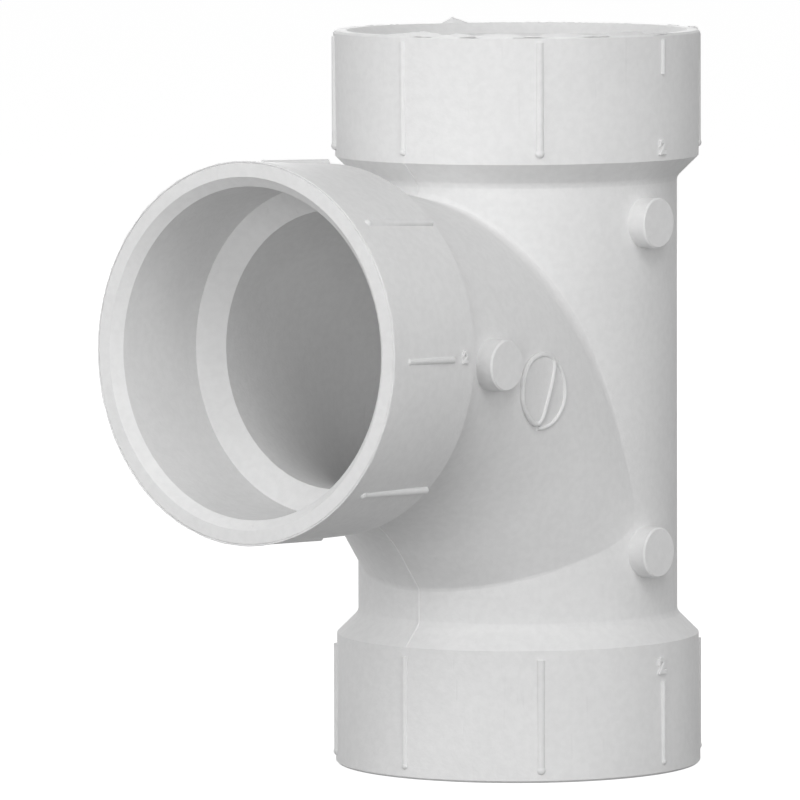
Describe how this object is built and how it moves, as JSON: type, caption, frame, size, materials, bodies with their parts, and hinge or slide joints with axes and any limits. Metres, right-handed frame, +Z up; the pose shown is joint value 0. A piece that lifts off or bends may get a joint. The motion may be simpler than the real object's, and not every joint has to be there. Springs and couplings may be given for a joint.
{
  "type": "sanitary tee",
  "caption": "Moulded plastic drain tee: a straight run with a pipe socket at each end and a socketed branch that turns down into it on a long bend.",
  "frame": {"origin": "on the run's axis in the plane of the lower rim", "axes": "+Z up the run, which stands on its lower rim; the branch leaves towards -Y, rising 2 degrees; +X is the mould half that carries the ejector pads"},
  "size_m": [0.0698, 0.1164, 0.1379],
  "materials": {
    "pvc": "semi-matte moulded rigid PVC, neutral white"
  },
  "bodies": {
    "root": {"tee_fitting": "pvc"}
  },
  "joints": []
}
